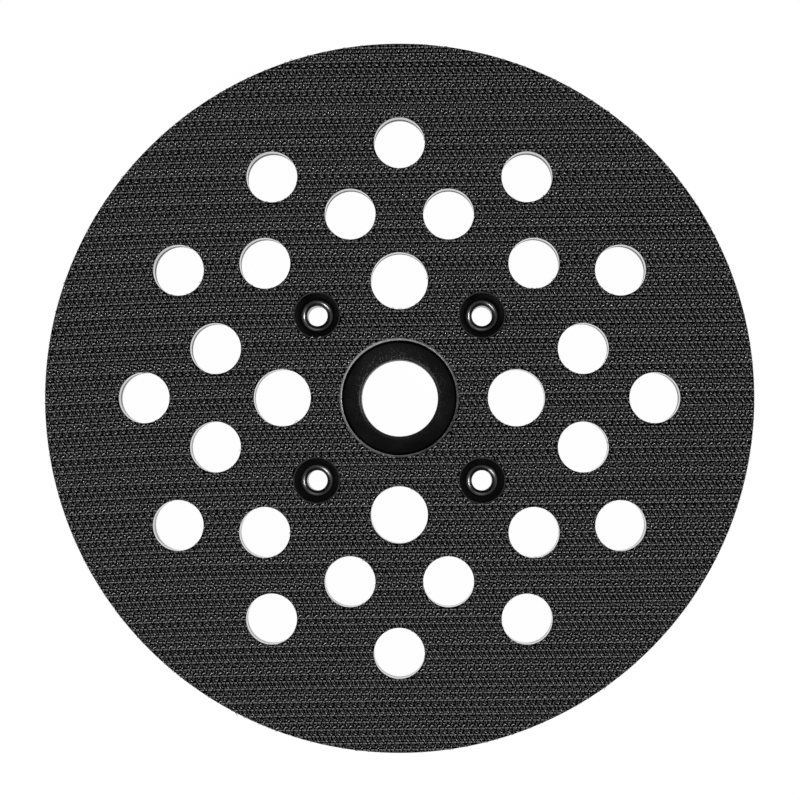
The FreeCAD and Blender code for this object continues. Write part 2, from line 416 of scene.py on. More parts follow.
# ======== finishes
class Recipe:
    """A node material under construction."""

    def __init__(self, name: str) -> None:
        """Starts an empty material of that name."""
        self.material = bpy.data.materials.new(name)
        self.material.use_nodes = True
        self.tree = self.material.node_tree
        self.tree.nodes.clear()

    def node(self, kind: str, *ordered: object, **named: object) -> bpy.types.Node:
        """Adds a node.

        Args:
            kind: Blender's name of the node type.
            *ordered: Values of its first inputs, in their order.
            **named: Values of inputs, by their capital name with _ for a space, and of the
                node's own properties.

        Returns:
            The node.
        """
        made = self.tree.nodes.new(kind)
        for name, value in named.items():
            if name.islower():
                setattr(made, name, value)
            else:
                self.feed(made.inputs[name.replace("_", " ")], value)
        for socket, value in zip(made.inputs, ordered):
            self.feed(socket, value)
        return made

    def feed(self, socket: Socket, value: object) -> None:
        """Links an output to an input, or sets the input's value."""
        if isinstance(value, bpy.types.NodeSocket):
            self.tree.links.new(value, socket)
        else:
            socket.default_value = value

    def maths(self, operation: str, *values: Socket | float) -> Socket:
        """The result of a Math node."""
        return self.node("ShaderNodeMath", *values, operation=operation).outputs[0]

    def places(self, stretch: tuple[float, float, float] | None = None) -> Socket:
        """The piece's own coordinates in metres, stretched along each axis where asked."""
        source = self.node("ShaderNodeTexCoord").outputs["Object"]
        if stretch is None:
            return source
        return self.node("ShaderNodeMapping", Vector=source, Scale=stretch).outputs["Vector"]

    def noise(self, vector: Socket, size: float, detail: float) -> Socket:
        """Soft noise whose lumps are about `size` metres across."""
        return self.node("ShaderNodeTexNoise", Vector=vector, Scale=1.0 / size, Detail=detail,
                         Roughness=0.55).outputs["Fac"]

    def cells(self, vector: Socket, size: float) -> Socket:
        """Distance to the nearest of scattered points about `size` metres apart."""
        return self.node("ShaderNodeTexVoronoi", Vector=vector,
                         Scale=1.0 / size).outputs["Distance"]

    def spread(self, value: Socket, target: Span, source: Span = (0.25, 0.75)) -> Socket:
        """Carries a value from the range `source` to `target`, and holds it within that."""
        ends = dict(zip(("From_Min", "From_Max", "To_Min", "To_Max"), (*source, *target)))
        return self.node("ShaderNodeMapRange", Value=value, **ends).outputs["Result"]

    def greys(self, value: Socket, low: float, high: float) -> Socket:
        """A neutral colour: `low` up to a value of 0.3, `high` from 0.7 on."""
        ramp = self.node("ShaderNodeValToRGB", Fac=value)
        for stop, place, level in zip(ramp.color_ramp.elements, (0.3, 0.7), (low, high)):
            stop.position = place
            stop.color = (level, level, level, 1.0)
        return ramp.outputs["Color"]

    def along(self, axis: str, low: float, high: float) -> Socket:
        """0 at the place `low` on an axis and 1 at `high`, even between them."""
        axes = self.node("ShaderNodeSeparateXYZ", Vector=self.places())
        return self.spread(axes.outputs[axis], (0.0, 1.0), (low, high))

    def outward(self, near: float, far: float) -> Socket:
        """Measures the distance from the pad's axis.

        Args:
            near: Distance that gives 0.
            far: Distance that gives 1.

        Returns:
            0 to 1, even between them.
        """
        flat = self.node("ShaderNodeVectorMath", self.places(), (1.0, 1.0, 0.0),
                         operation="MULTIPLY")
        length = self.node("ShaderNodeVectorMath", flat.outputs["Vector"], operation="LENGTH")
        return self.spread(length.outputs["Value"], (0.0, 1.0), (near, far))

    def blend(self, share: Socket | float, low: Socket | float, high: Socket | float) -> Socket:
        """Mixes two values.

        Args:
            share: How much of `high` there is.
            low: The value at a share of 0.
            high: The value at a share of 1.

        Returns:
            low + share * (high - low).
        """
        node = self.node("ShaderNodeMix", data_type="FLOAT")
        numbers = [socket for socket in node.inputs
                   if socket.type == "VALUE" and socket.name in ("Factor", "A", "B")]
        for socket, value in zip(numbers, (share, low, high)):
            self.feed(socket, value)
        return node.outputs[0]

    def mixed(self, base: Socket, extra: Socket, share: float) -> Socket:
        """base + share * extra, brought back to the range of base."""
        return self.maths("DIVIDE", self.maths("MULTIPLY_ADD", extra, share, base), 1 + share)

    def ripples(self, vector: Socket, pitch: float, axis: str) -> Socket:
        """Even ripples across one axis, `pitch` metres apart."""
        return self.node("ShaderNodeTexWave", wave_type="BANDS", bands_direction=axis,
                         wave_profile="SIN", Vector=vector,
                         Scale=math.pi / (10 * pitch)).outputs["Fac"]

    def bump(self, height: Socket, depth: float) -> Socket:
        """A normal from a height between 0 and 1 that stands for `depth` metres."""
        return self.node("ShaderNodeBump", Height=height, Distance=depth,
                         Strength=1.0).outputs["Normal"]

    def finish(self, colour: Socket, roughness: Socket | float, normal: Socket | None = None,
               **constants: float) -> Material:
        """Ends the material in a Principled shader.

        Args:
            colour: Base colour.
            roughness: Roughness, a link or a value.
            normal: The bumped normal.
            **constants: Other inputs of the shader, which stay plain numbers.

        Returns:
            The finished material.
        """
        shader = self.node("ShaderNodeBsdfPrincipled", Base_Color=colour, Roughness=roughness,
                           **constants)
        if normal is not None:
            self.feed(shader.inputs["Normal"], normal)
        self.node("ShaderNodeOutputMaterial", Surface=shader.outputs["BSDF"])
        return self.material


# -------- the finishes of the pad
@dataclass(frozen=True)
class MouldedNylon:
    """Black glass-filled nylon: mould grain, duller at the bore, and pale flecks that are painted
    glints.

    Within a set reach of the axis it gets duller from -Y to +Y, and the painted glints show only
    towards +Y: painted sheen on that side.
    """

    bore_radius: float
    dark: float = 0.003
    pale: float = 0.15
    # The flecks are painted glints; their tints, palest at the bore, are a painted highlight.
    painted_glint: float = 0.40 * MM
    painted_glint_edge: Span = (0.12, 0.34)
    painted_glint_tints: Span = (0.80, 0.20)
    plain_tints: Span = (0.28, 0.32)
    grain: float = 0.24 * MM
    grain_depth: float = 0.016 * MM
    cloud: float = 5.0 * MM
    cloud_share: float = 0.5
    # Near the bore it is duller and the painted glints are palest; across the reach in Y it goes
    # from no painted sheen at -Y to full painted sheen at +Y.
    bore_zone_width: float = 3.6 * MM
    painted_sheen_reach: float = 12 * MM
    side_roughness_share: float = 0.7
    bore_roughness: Span = (0.34, 0.56)
    outer_roughness: Span = (0.15, 0.46)
    specular: float = 0.28

    def material(self) -> Material:
        """Builds the node material.

        A fleck is a pale spot round a scattered point, a painted glint. It is palest at the bore, a
        painted highlight that fades outward, and it fades out towards -Y, away from the painted
        sheen.

        Returns:
            The material.
        """
        recipe = Recipe("moulded_nylon")
        places = recipe.places()
        grain = recipe.noise(places, self.grain, 2.0)
        cloud = recipe.noise(places, self.cloud, 4.0)
        outer = recipe.outward(self.bore_radius, self.bore_radius + self.bore_zone_width)
        # Painted sheen: 0 at -Y, 1 at +Y. It lets the painted glints show on the +Y side, and also
        # makes that side duller.
        painted_sheen = recipe.along("Y", -self.painted_sheen_reach, self.painted_sheen_reach)
        mottle = recipe.mixed(recipe.mixed(grain, cloud, self.cloud_share), painted_sheen,
                              self.side_roughness_share)
        painted_glint = recipe.spread(recipe.cells(places, self.painted_glint), (1.0, 0.0), self.painted_glint_edge)
        # Painted glints, palest at the bore as a painted highlight, on the side of the painted
        # sheen; elsewhere the plain cloud tone.
        tint = recipe.blend(recipe.blend(painted_sheen, 0.0, painted_glint),
                            recipe.spread(cloud, self.plain_tints),
                            recipe.blend(outer, *self.painted_glint_tints))
        return recipe.finish(
            recipe.greys(tint, self.dark, self.pale),
            recipe.blend(outer, recipe.spread(mottle, self.bore_roughness),
                         recipe.spread(mottle, self.outer_roughness)),
            recipe.bump(grain, self.grain_depth), Specular_IOR_Level=self.specular)


@dataclass(frozen=True)
class FoamSkin:
    """Black closed-cell foam: cells show on its moulded side, and its cut walls are smooth."""

    side_radius: float
    skin_width: float = 1 * MM
    dark: float = 0.008
    pale: float = 0.022
    cell: float = 0.35 * MM
    cell_depth: float = 0.03 * MM
    lump: float = 2.5 * MM
    lump_share: float = 0.8
    cut_relief: float = 0.02
    cut_roughness: float = 0.06
    skin_roughness: Span = (0.42, 0.62)
    specular: float = 0.25

    def material(self) -> Material:
        """Builds the node material.

        The share of moulded skin goes from 0 to 1 over the last `skin_width` before the side. A
        cut wall keeps `cut_relief` of the relief, about its middle of 0.5.

        Returns:
            The material.
        """
        recipe = Recipe("foam_skin")
        places = recipe.places()
        lumps = recipe.noise(places, self.lump, 5.0)
        relief = recipe.mixed(recipe.cells(places, self.cell), lumps, self.lump_share)
        skin = recipe.outward(self.side_radius - self.skin_width, self.side_radius)
        height = recipe.blend(skin, recipe.blend(self.cut_relief, 0.5, relief), relief)
        return recipe.finish(
            recipe.greys(relief, self.dark, self.pale),
            recipe.blend(skin, self.cut_roughness, recipe.spread(lumps, self.skin_roughness)),
            recipe.bump(height, self.cell_depth), Specular_IOR_Level=self.specular)


@dataclass(frozen=True)
class HotMeltFilm:
    """Thin grey film that bonds the tape: seen at the cut edges only, palest in the middle.

    Round the middle it was squeezed out, and it is painted paler on the side of -X and +Y: painted
    highlight.
    """

    dark: float = 0.03
    pale: float = 0.34
    streak: float = 0.7 * MM
    streak_depth: float = 0.01 * MM
    # Round the recess the film is paler on the side of -X and +Y: painted highlight, mixed with the
    # streaks.
    recess_reach: float = 12 * MM
    pale_radius: float = 15 * MM
    dark_radius: float = 19 * MM
    recess_tints_and_highlight: Span = (0.28, 0.71)
    well_tints: Span = (0.22, 0.34)
    roughness: Span = (0.16, 0.30)
    specular: float = 0.8

    def material(self) -> Material:
        """Builds the node material.

        Returns:
            The material.
        """
        recipe = Recipe("hot_melt_film")
        streaks = recipe.noise(recipe.places(), self.streak, 4.0)
        # Painted highlight: 0 at +X and -Y, 1 at -X and +Y.
        side = recipe.mixed(recipe.along("X", self.recess_reach, -self.recess_reach),
                            recipe.along("Y", -self.recess_reach, self.recess_reach), 1.0)
        shaded = recipe.blend(
            recipe.outward(self.pale_radius, self.dark_radius),
            recipe.spread(recipe.mixed(side, streaks, 1.0), self.recess_tints_and_highlight),
            recipe.spread(streaks, self.well_tints))
        return recipe.finish(
            recipe.greys(shaded, self.dark, self.pale), recipe.spread(streaks, self.roughness),
            recipe.bump(streaks, self.streak_depth), Specular_IOR_Level=self.specular)


@dataclass(frozen=True)
class GroundWeave:
    """Black woven polyester: fine warp and weft under the hooks, coloured far darker than black
    cloth as painted shade for the pockets between the yarns.
    """

    # Painted shade: far darker than black cloth, so the cloth stands for the shade in the pockets
    # between yarns and hooks.
    dark: float = 0.0003
    pale: float = 0.0015
    thread: float = 0.28 * MM
    blotch: float = 0.6 * MM
    fuzz: float = 0.12 * MM
    fuzz_share: float = 0.4
    relief_depth: float = 0.05 * MM
    roughness: float = 0.7
    specular: float = 0.02

    def material(self) -> Material:
        """Builds the node material.

        Returns:
            The material.
        """
        recipe = Recipe("ground_weave_painted_shade")
        places = recipe.places()
        weave = recipe.mixed(recipe.ripples(places, self.thread, "X"),
                             recipe.ripples(places, self.thread, "Y"), 1.0)
        relief = recipe.mixed(weave, recipe.noise(places, self.fuzz, 3.0), self.fuzz_share)
        return recipe.finish(
            recipe.greys(recipe.noise(places, self.blotch, 2.0), self.dark, self.pale),
            self.roughness, recipe.bump(relief, self.relief_depth),
            Specular_IOR_Level=self.specular)


@dataclass(frozen=True)
class Fibre:
    """Black fibre in blotches between two greys, with one roughness or a range of it.

    Given heights, it goes paler from the lower to the higher, a painted highlight on its tops,
    and `strand` is the size of the fine strands along it. Without them it is plain.
    """

    name: str
    dark: float
    pale: float
    blotch: float
    roughness: Span | float
    specular: float = 0.5
    painted_highlight_heights: Span | None = None
    blotch_share: float = 0.35
    strand: float | None = None
    strand_stretch: float = 0.2
    strand_depth: float = 0.02 * MM

    def material(self) -> Material:
        """Builds the node material.

        Returns:
            The material.
        """
        recipe = Recipe(self.name)
        tint = blotches = recipe.noise(recipe.places(), self.blotch, 2.0)
        roughness, normal = self.roughness, None
        if isinstance(roughness, tuple):
            roughness = recipe.spread(blotches, roughness)
        # Painted highlight: paler towards the top, mixed with the blotches.
        if self.painted_highlight_heights is not None:
            tint = recipe.mixed(recipe.along("Z", *self.painted_highlight_heights), blotches, self.blotch_share)
        if self.strand is not None:
            stretched = recipe.places((self.strand_stretch, 1.0, 1.0))
            normal = recipe.bump(recipe.noise(stretched, self.strand, 2.0), self.strand_depth)
        return recipe.finish(recipe.greys(tint, self.dark, self.pale), roughness, normal,
                             Specular_IOR_Level=self.specular)


class TapeFibre(Enum):
    """The tape's fibres: dull yarn on and between the ridges, and the glossy nylon of hooks."""

    # Ridge yarns and hooks reach their pale grey only at their tops: painted highlight. The hooks'
    # pale grey is far lighter than black nylon.
    RIDGE = Fibre("ridge_yarn", 0.02, 0.132, 0.8 * MM, (0.34, 0.50), strand=0.07 * MM)
    GROUND = Fibre("ground_yarn", 0.042, 0.148, 0.5 * MM, 0.55, 0.2)
    HOOK = Fibre("monofilament", 0.055, 0.475, 0.9 * MM, (0.18, 0.30), 0.8)

    def between(self, low: float, high: float) -> Material:
        """Its material, painted paler from one height to another: painted highlight on the tops."""
        return replace(self.value, painted_highlight_heights=(low, high)).material()


@dataclass(frozen=True)
class BlackSteel:
    """Black-finished steel, semi-gloss, with a fine grain and slight wear."""

    dark: float = 0.012
    pale: float = 0.026
    wear: float = 1.6 * MM
    grain: float = 0.15 * MM
    grain_depth: float = 0.005 * MM
    roughness: Span = (0.17, 0.38)
    specular: float = 1.0
    index: float = 1.75

    def material(self) -> Material:
        """Builds the node material.

        Returns:
            The material.
        """
        recipe = Recipe("black_steel")
        places = recipe.places()
        wear = recipe.noise(places, self.wear, 5.0)
        grain = recipe.noise(places, self.grain, 2.0)
        return recipe.finish(
            recipe.greys(wear, self.dark, self.pale), recipe.spread(wear, self.roughness),
            recipe.bump(grain, self.grain_depth), Specular_IOR_Level=self.specular,
            IOR=self.index)


# ======== the pad's sub-assemblies
def settle(piece: Object, material: Material, node: str | None) -> Object:
    """Dresses a finished piece and hangs it on the body.

    Args:
        piece: The new piece.
        material: Its finish.
        node: The CAD node that it stands for, if it stands for one.

    Returns:
        The piece.
    """
    piece.data.materials.append(material)
    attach(piece, BODY)
    if node is not None:
        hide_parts(node)
    piece.data.calc_loop_triangles()
    LOG.info("%s: %d triangles", piece.name, len(piece.data.loop_triangles))
    return piece


class CadFace:
    """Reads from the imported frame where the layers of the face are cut."""

    def __init__(self) -> None:
        """Reads the middles of the dust vents and of the screws."""
        boxes = [opening["box_m"] for opening in frame["record"]["physics"]["openings"]
                 if "vent" in opening["name"]]
        self.vents = np.array(boxes).mean(1)[:, :2]
        bushes = sorted(name for name in frame["nodes"] if name.startswith("screw_bush"))
        self.screws = np.array([[list(corner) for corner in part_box(name)]
                                for name in bushes]).mean(1)[:, :2]

    @staticmethod
    def corners(node: str) -> Array:
        """The vertices of a CAD node, in metres, one row each."""
        mesh = frame["nodes"][node].data
        found = np.empty(len(mesh.vertices) * 3, np.float32)
        mesh.vertices.foreach_get("co", found)
        return found.reshape(-1, 3).astype(float)

    @staticmethod
    def levels(node: str) -> Span:
        """Lowest and highest Z of a CAD node."""
        low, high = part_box(node)
        return low.z, high.z

    def reaches(self, node: str) -> Array:
        """Distances of a CAD node's vertices from the pad's axis."""
        return np.hypot(*self.corners(node)[:, :2].T)

    def outline(self, node: str) -> Outline:
        """The plan of a CAD layer.

        The edge is its farthest vertex from the middle, and a cut's radius is the distance from
        the cut's middle to the nearest vertex.

        Args:
            node: Name of the layer's CAD node.

        Returns:
            The plan, with the centre recess as its first cut.
        """
        flat = self.corners(node)[:, :2]
        middles = np.concatenate([[[0.0, 0.0]], self.screws, self.vents])
        cuts = tuple(Cut(float(x), float(y), float(np.hypot(*(flat - (x, y)).T).min()))
                     for x, y in middles)
        return Outline(Cut(0.0, 0.0, float(self.reaches(node).max())), cuts)


class Ridge(NamedTuple):
    """A float of ridge yarn: where it lies along the row, how long it is, and how it slants."""

    place: float
    length_mm: float
    slant: float


class Hook(NamedTuple):
    """How a filament leaves the ground, leans over and bends down.

    `place` is a share of the pitch along the row and `across_mm` the distance above the ridge,
    both of the top of the hook in plan.  The leg comes from `reach_mm` behind it.
    """

    place: float
    across_mm: float
    heading_deg: float
    reach_mm: float
    height_mm: float
    bow_mm: float
    sway_mm: float


class Stub(NamedTuple):
    """A cut end that stands beside a hook, by place, distance above the ridge and height."""

    place: float
    across_mm: float
    height_mm: float
    lean_deg: float


class Tie(NamedTuple):
    """A short ground yarn between the ridges, by the place of its middle, heading and length."""

    place: float
    across_mm: float
    heading_deg: float
    length_mm: float


@dataclass(frozen=True)
class RowStitch:
    """What one row of the tape is made of."""

    ridges: tuple[Ridge, Ridge]
    hook: Hook
    stub: Stub
    ties: tuple[Tie, ...]


class RowKind(Enum):
    """The four rows that the weave of the tape repeats, going up."""

    RIGHT = RowStitch(
        (Ridge(0.15, 0.67, 0.0), Ridge(0.68, 0.52, -0.16)),
        Hook(0.89, 0.50, -12.0, 0.50, 1.34, 0.13, 0.08), Stub(0.47, 0.86, 0.60, 80.0),
        (Tie(0.42, 0.90, -80.0, 0.36), Tie(0.90, 0.94, 82.0, 0.46),
         Tie(0.42, 0.42, -52.0, 0.50), Tie(0.69, 0.56, -5.0, 0.42),
         Tie(0.05, 0.75, 5.0, 0.42), Tie(0.62, 1.12, 10.0, 0.40)))
    ARCH = RowStitch(
        (Ridge(0.555, 0.94, 0.0), Ridge(0.05, 0.34, -0.5)),
        Hook(0.28, 0.34, 178.0, 0.52, 1.15, 0.25, -0.34), Stub(0.82, 1.02, 0.62, 60.0),
        (Tie(0.81, 0.64, -72.0, 0.80), Tie(0.05, 1.04, 57.0, 0.50),
         Tie(0.456, 0.65, -50.0, 0.40), Tie(0.26, 0.60, 60.0, 0.38),
         Tie(0.68, 0.40, 10.0, 0.34), Tie(0.50, 1.14, 15.0, 0.42)))
    SLASH = RowStitch(
        (Ridge(0.97, 0.62, -0.05), Ridge(0.42, 0.60, -0.14)),
        Hook(0.67, 0.50, 238.0, 0.52, 1.10, 0.12, 0.0), Stub(0.42, 0.72, 1.00, 88.0),
        (Tie(0.41, 0.63, 90.0, 0.46), Tie(0.03, 0.58, 0.0, 0.46),
         Tie(0.68, 0.94, 0.0, 0.50), Tie(0.05, 0.90, 30.0, 0.40),
         Tie(0.24, 0.62, -60.0, 0.36), Tie(0.92, 1.10, -30.0, 0.40)))
    DIVE = RowStitch(
        (Ridge(0.03, 0.90, -0.05), Ridge(0.54, 0.30, 0.0)),
        Hook(0.36, 0.50, -53.0, 0.72, 1.34, 0.14, 0.0), Stub(0.75, 0.98, 0.70, 100.0),
        (Tie(0.408, 1.00, -80.0, 0.46), Tie(0.75, 0.98, -88.0, 0.46),
         Tie(0.61, 0.50, -40.0, 0.46), Tie(0.904, 0.48, -60.0, 0.50),
         Tie(0.14, 1.06, -55.0, 0.40), Tie(0.08, 0.42, 30.0, 0.36)))


class Seed(IntEnum):
    """Seed of the draws for each part of the stitch. Further ridges and ties count on from it."""

    STUB = 5
    HOOK = 7
    RIDGES = 11
    TIES = 21


@dataclass(frozen=True)
class Jitter:
    """Standard deviations of the stitches' small differences: metres, radians or shares."""

    place: float = 0.03 * MM
    yarn_length: float = 0.02 * MM
    yarn_lift: float = 0.08
    yarn_slant: float = 0.03
    tie_heading: float = 0.12
    hook_heading: float = 0.10
    hook_reach: float = 0.06
    hook_height: float = 0.03
    stub_height: float = 0.08
    stub_lean: float = 0.08


@dataclass
class Lattice:
    """Places of the stitches: rows along X that rise and bend a little across the pad."""

    row_pitch: float = 1.46 * MM
    hook_pitch: float = 1.70 * MM
    skew: float = -0.017
    slope_far: float = 0.0125
    slope_swing: float = 0.024
    bend_at: float = -48 * MM
    bend_width: float = 22 * MM
    drift: float = 0.005 * MM
    offset: float = 0.025 * MM

    def rise(self, x: Array) -> Array:
        """Height of a row at x: the integral of slope_far + slope_swing (1 - tanh((x - b) / w))."""
        bend = self.bend_width * np.log(np.cosh((x - self.bend_at) / self.bend_width))
        return self.slope_far * x + self.slope_swing * (x - bend)

    def sites(self, radius: float, sizes: Array, chance: Chance) -> tuple[Array, Array, Array]:
        """Places of one kind of stitch all over the pad.

        Args:
            radius: Radius of the pad.
            sizes: A row for each of the repeating rows, with its place along it, as a share of
                the pitch, in the first column.
            chance: Source of the rows' slight wander.

        Returns:
            x and y of each stitch, and its other sizes, one column each.
        """
        reach = math.ceil(radius / self.row_pitch) + 3
        span = math.ceil(radius / self.hook_pitch) + 2
        row, stitch = np.meshgrid(np.arange(-reach, reach + 1), np.arange(-span, span + 1),
                                  indexing="ij")
        kind = row % len(sizes)
        x = (stitch + sizes[kind, 0]) * self.hook_pitch
        wander = np.cumsum(chance.normal(0, self.drift, row.shape), axis=1)
        wander += chance.normal(0, self.offset, (len(row), 1))
        y = row * self.row_pitch + self.rise(x) + wander
        x = x + self.skew * y
        return x.ravel(), y.ravel(), sizes[kind.ravel(), 1:]


@dataclass
class HookTape:
    """Woven hook tape: ground cloth, the ridge yarns that show between the rows, and the hooks."""

    face: CadFace
    lattice: Lattice = field(default_factory=Lattice)
    jitter: Jitter = Jitter()
    most_triangles: int = 190_000
    ground_share: float = 0.5
    yarn_radius: float = 0.185 * MM
    yarn_flatness: float = 0.75
    yarn_taper: float = 0.3
    yarn_lift: float = 0.20 * MM
    yarn_sunk: float = 0.04 * MM
    yarn_shortest: float = 0.16 * MM
    yarn_shares: tuple[float, ...] = (-1.0, -0.66, 0.0, 0.66, 1.0)
    tie_radius: float = 0.125 * MM
    tie_shares: tuple[float, ...] = (-0.5, 0.05, 0.5)
    tie_lifts: tuple[float, ...] = (-0.9, 0.5, -0.9)
    hook_radius: float = 0.075 * MM
    hook_turns_deg: tuple[float, ...] = (0.0, -40.0, -80.0, -120.0)
    hook_leg_shares: Span = (0.0, 0.5)
    hook_shoulder: float = 0.45
    hook_rounds: int = 12
    stub_radius: float = 0.09 * MM
    stub_shares: tuple[float, ...] = (0.0, 0.55, 1.0)
    overhang: float = 0.22 * MM
    sides: int = 5
    tie_sides: int = 4
    # Heights over the ground from which ridge yarns, hooks and stubs get paler towards their tops:
    # painted highlight.
    painted_sheen: Span = (-0.05 * MM, 0.28 * MM)
    painted_highlight_from: float = 0.40 * MM

    def __post_init__(self) -> None:
        """Reads plan and levels from the CAD model."""
        self.plan = self.face.outline("hook_tape_weave")
        self.bottom, weave_top = self.face.levels("hook_tape_weave")
        _, self.hook_top = self.face.levels("hook_pile")
        self.ground = self.bottom + self.ground_share * (weave_top - self.bottom)

    def placed(self, seed: Seed, *units: float) -> Iterator[tuple[Chance, Array, Array, Array]]:
        """Places and sizes of a part of the stitch all over the pad, one after another.

        Args:
            seed: Where its draws start. Its name is that of the part.
            *units: What the part's columns are multiplied by.

        Yields:
            The source of its draws, x, y, and its sizes without the place, one column each.
        """
        table = np.array([getattr(kind.value, seed.name.lower()) for kind in RowKind]) * units
        for turn, sizes in enumerate(table.reshape(len(table), -1, len(units)).swapaxes(0, 1)):
            chance = np.random.default_rng(seed + turn)
            yield chance, *self.lattice.sites(self.plan.edge.radius, sizes, chance)

    def floats(self) -> Tubes:
        """The ridge yarns: short floats along the rows, each an arch that dives into the ground.

        At share t from -1 to 1 of a float's half length the yarn stands lift (1 - t^4) above the
        level that its ends are sunk to.

        Returns:
            The floats, first one and then the other of each stitch.
        """
        share = np.array(self.yarn_shares)
        paths = []
        for chance, x, y, sizes in self.placed(Seed.RIDGES, 1, MM, 1):
            half = sizes[:, 0] / 2 + chance.normal(0, self.jitter.yarn_length, len(x))
            begin, end = self.plan.trimmed(x, y, half)
            kept = end - begin > self.yarn_shortest
            x, y, slant, begin, end = (values[kept, None]
                                       for values in (x, y, sizes[:, 1], begin, end))
            along = (begin + end) / 2 + share * (end - begin) / 2
            lift = self.yarn_lift * (1 + chance.normal(0, self.jitter.yarn_lift, x.shape))
            up = self.ground - self.yarn_sunk + lift * (1 - share ** 4)
            slant = slant + chance.normal(0, self.jitter.yarn_slant, x.shape)
            across = y + self.lattice.rise(along) - self.lattice.rise(x) + slant * (along - x)
            paths.append(np.stack([along, across, up], -1))
        path = np.concatenate(paths)
        radii = np.broadcast_to(self.yarn_radius * (1 - self.yarn_taper * share ** 4),
                                path.shape[:2])
        return Tubes(path, np.broadcast_to([0.0, 1.0, 0.0], (len(path), 3)), radii, self.sides,
                     self.yarn_flatness)

    def ties(self) -> Tubes:
        """The ground yarns between the ridges, whose ends dive into the cloth.

        An end that would lie past the cloth's edge is drawn back towards the tie's middle.

        Returns:
            The ties.
        """
        share, lifts = np.array(self.tie_shares), np.array(self.tie_lifts)
        paths, sideways = [], []
        for chance, x, y, sizes in self.placed(Seed.TIES, 1, MM, DEG, MM):
            across, heading, length = sizes.T
            heading = heading + chance.normal(0, self.jitter.tie_heading, len(x))
            ahead = np.stack([np.cos(heading), np.sin(heading)], -1)
            middle = np.stack([x, y + across], -1)
            middle += chance.normal(0, self.jitter.place, middle.shape)
            room = self.plan.clearance(*middle.T)
            kept = room > self.tie_radius / 2
            middle, ahead, length, room = middle[kept], ahead[kept], length[kept], room[kept]
            away = (share * length[:, None])[..., None] * ahead[:, None]
            past = self.plan.clearance(*np.moveaxis(middle[:, None] + away, -1, 0))
            past = np.maximum(-past, 0)
            flat = middle[:, None] + away * (room[:, None] / (room[:, None] + past))[..., None]
            up = np.broadcast_to(self.ground + self.tie_radius * lifts, past.shape)
            paths.append(np.concatenate([flat, up[..., None]], -1))
            sideways.append(np.column_stack([-ahead[:, 1], ahead[:, 0], np.zeros(len(ahead))]))
        path = np.concatenate(paths)
        return Tubes(path, np.concatenate(sideways), np.full(path.shape[:2], self.tie_radius),
                     self.tie_sides)

    def hooks(self) -> Tubes:
        """The hooks.

        In its own upright plane a hook is a straight leg from (0, 0), tangent to an arc of radius
        b round (reach, height - b).  The arc's point with its tangent at elevation a is
        (reach - b sin a, height - b + b cos a), so the leg's own elevation obeys
        tan a = (height - b + b cos a) / (reach - b sin a).  The arc ends pointing down and back.

        Returns:
            The hooks whose foot is on the cloth and whose tip hardly overhangs it.
        """
        chance, x, y, sizes = next(self.placed(Seed.HOOK, 1, MM, DEG, MM, MM, MM, MM))
        across, heading, reach, height, bow, sway = sizes.T
        heading = heading + chance.normal(0, self.jitter.hook_heading, len(x))
        reach = reach * (1 + chance.normal(0, self.jitter.hook_reach, len(x)))
        height = height * (1 - np.abs(chance.normal(0, self.jitter.hook_height, len(x))))
        forward = np.stack([np.cos(heading), np.sin(heading)], -1)
        top = np.stack([x, y + across], -1)
        top += chance.normal(0, self.jitter.place, top.shape)
        root, tip = top - reach[:, None] * forward, top + bow[:, None] * forward
        kept = ((self.plan.clearance(*root.T) > 0)
                & (self.plan.clearance(*tip.T) > -self.overhang))
        root, forward = root[kept], forward[kept]
        reach, height, bow, sway = (values[kept, None] for values in (reach, height, bow, sway))

        elevation = np.arctan2(height, reach)
        for _ in range(self.hook_rounds):
            elevation = np.arctan2(height - bow + bow * np.cos(elevation),
                                   reach - bow * np.sin(elevation))
        bent = np.radians(self.hook_turns_deg)
        turn = np.hstack([elevation, elevation * self.hook_shoulder,
                          np.broadcast_to(bent, (len(elevation), len(bent)))])
        arc = np.stack([reach - bow * np.sin(turn), height - bow + bow * np.cos(turn)])
        along, up = np.concatenate([arc[..., :1] * self.hook_leg_shares, arc], -1)
        bend = sway * np.sin(math.pi * along / (reach + bow))
        sideways = np.column_stack([-forward[:, 1], forward[:, 0], np.zeros(len(forward))])
        flat = (root[:, None] + along[..., None] * forward[:, None]
                + bend[..., None] * sideways[:, None, :2])
        paths = np.concatenate([flat, (self.ground + up)[..., None]], -1)
        return Tubes(paths, sideways, np.full(up.shape, self.hook_radius), self.sides)

    def stubs(self) -> Tubes:
        """The cut ends beside the hooks: straight, leaning a little along the row.

        Returns:
            The stubs that stand on the cloth.
        """
        chance, x, y, sizes = next(self.placed(Seed.STUB, 1, MM, MM, DEG))
        across, height, lean = sizes.T
        y = y + across + chance.normal(0, self.jitter.place, len(x))
        height = height * (1 + chance.normal(0, self.jitter.stub_height, len(x)))
        lean = lean + chance.normal(0, self.jitter.stub_lean, len(x))
        kept = self.plan.clearance(x, y) > self.stub_radius
        x, y, height, lean = (values[kept, None] for values in (x, y, height, lean))
        up = height * self.stub_shares
        along = x + (up - height) / np.tan(lean)
        paths = np.stack([along, np.broadcast_to(y, up.shape), self.ground + up], -1)
        sideways = np.broadcast_to([0.0, 1.0, 0.0], (len(x), 3))
        return Tubes(paths, sideways, np.full(up.shape, self.stub_radius), self.sides)

